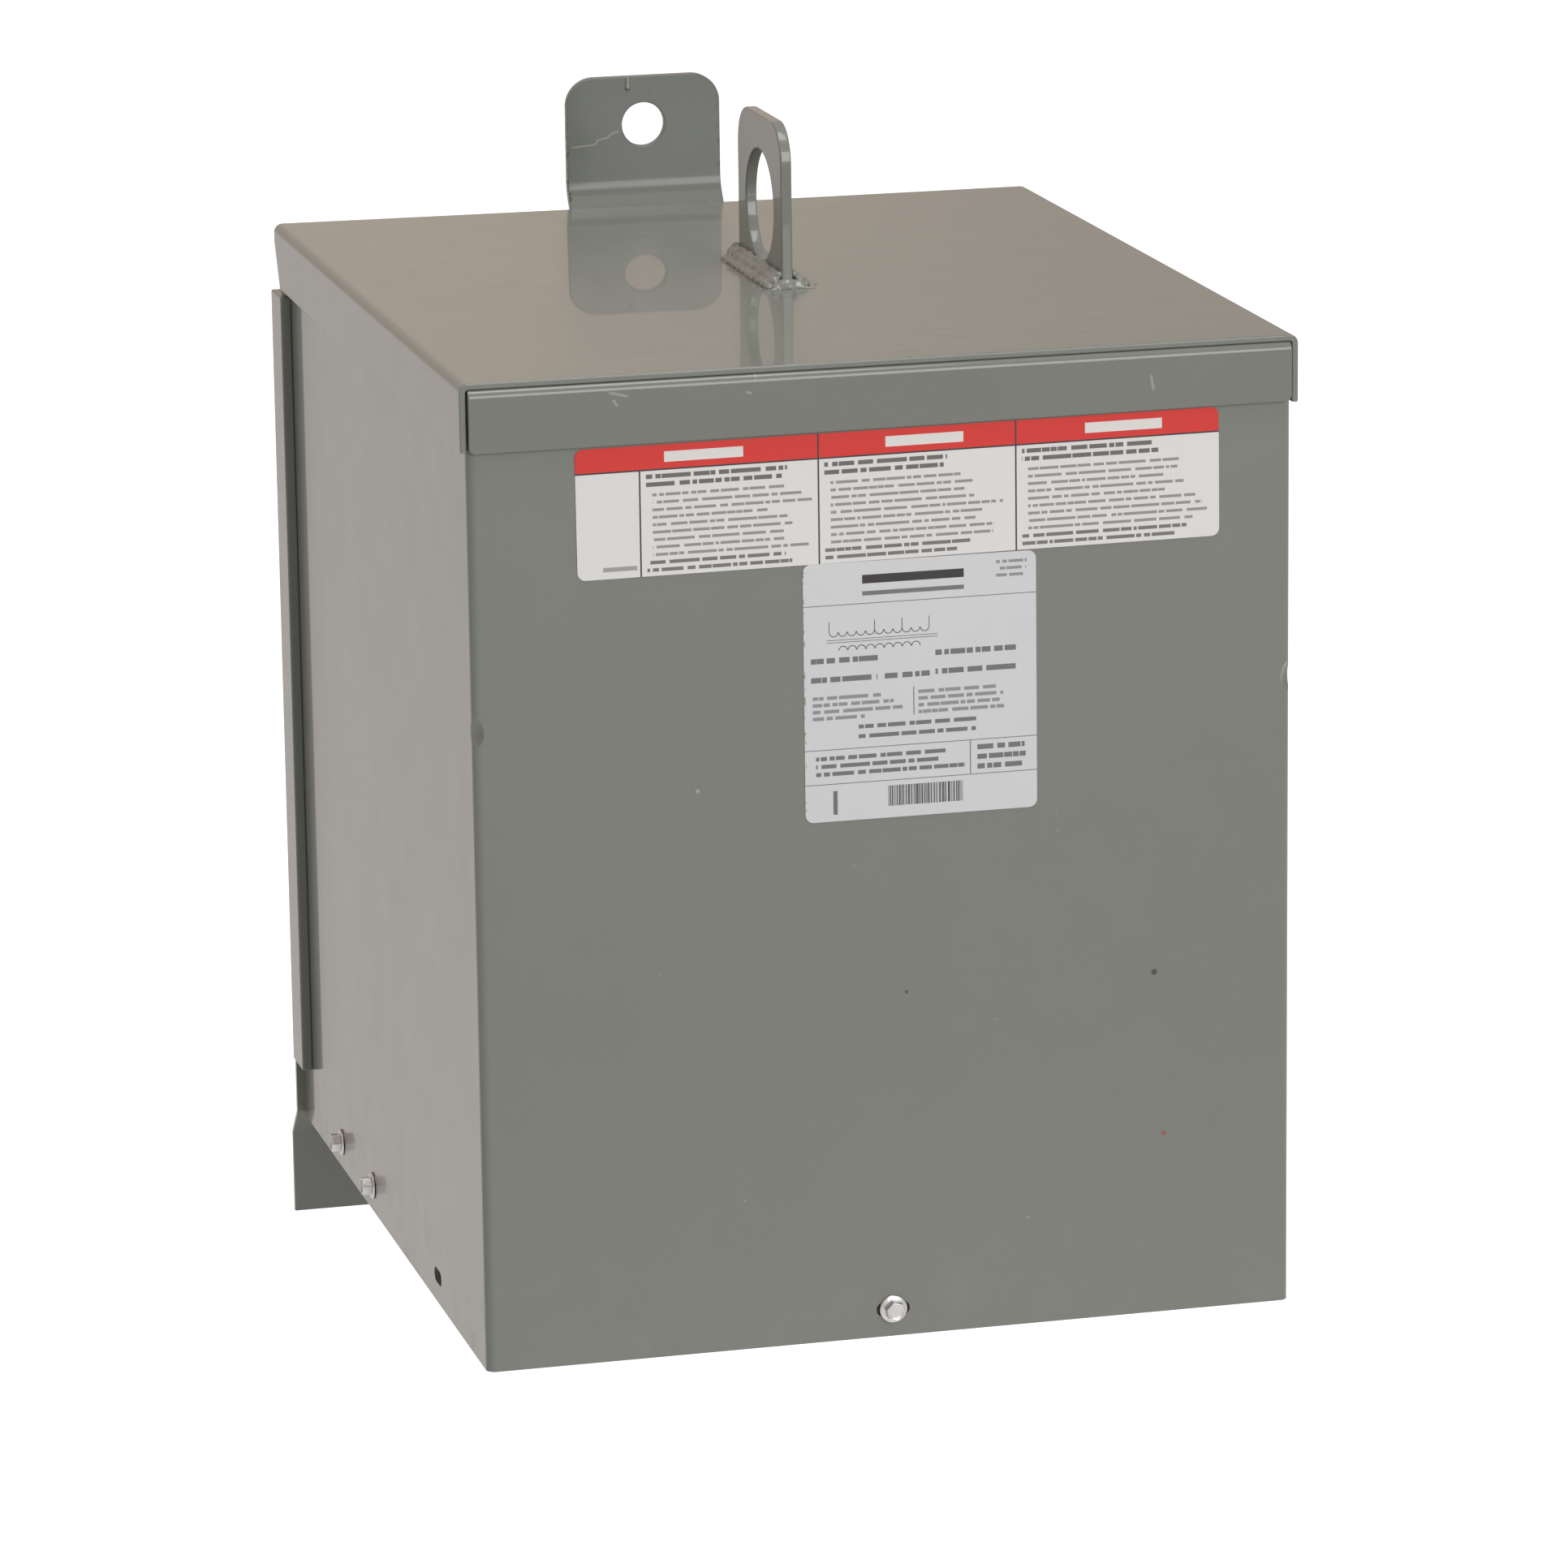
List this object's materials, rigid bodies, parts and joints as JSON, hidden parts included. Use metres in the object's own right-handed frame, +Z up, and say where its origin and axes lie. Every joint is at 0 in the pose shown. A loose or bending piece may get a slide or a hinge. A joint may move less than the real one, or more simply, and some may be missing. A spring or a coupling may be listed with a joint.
{
  "type": "general purpose transformer",
  "caption": "Wall-hung potted transformer in a painted sheet-steel box, with a drip-edge lid, lifting eye, hanging bracket and foot.",
  "frame": {"origin": "on the wall plane, midway between the two holes of the foot", "axes": "+Z up, -Y out of the front towards a person facing the unit, +X to that person's right; +Y points into the wall"},
  "size_m": [0.3152, 0.3671, 0.472],
  "materials": {
    "paint": "glossy grey-green enamel",
    "painted_weld": "rough weld bead under grey-green enamel",
    "zinc": "zinc plated",
    "white_label": "printed vinyl",
    "grey_label": "printed foil",
    "potting": "cast resin and sand"
  },
  "bodies": {
    "root": {"enclosure_wrap": "paint", "back_plate": "paint", "seam_strip_left": "paint", "seam_strip_right": "paint", "lid_sheet": "paint", "lid_lip": "paint", "wall_bracket": "paint", "bracket_weld_left": "painted_weld", "bracket_weld_right": "painted_weld", "lifting_eye": "paint", "eye_weld_left": "painted_weld", "eye_weld_right": "painted_weld", "eye_weld_front": "painted_weld", "eye_weld_back": "painted_weld", "bottom_cover": "paint", "potted_core": "potting", "screw_front": "zinc", "screw_left_back": "zinc", "screw_left_middle": "zinc", "screw_right_back": "zinc", "screw_right_middle": "zinc", "wide_label": "white_label", "rating_label": "grey_label"}
  },
  "joints": []
}
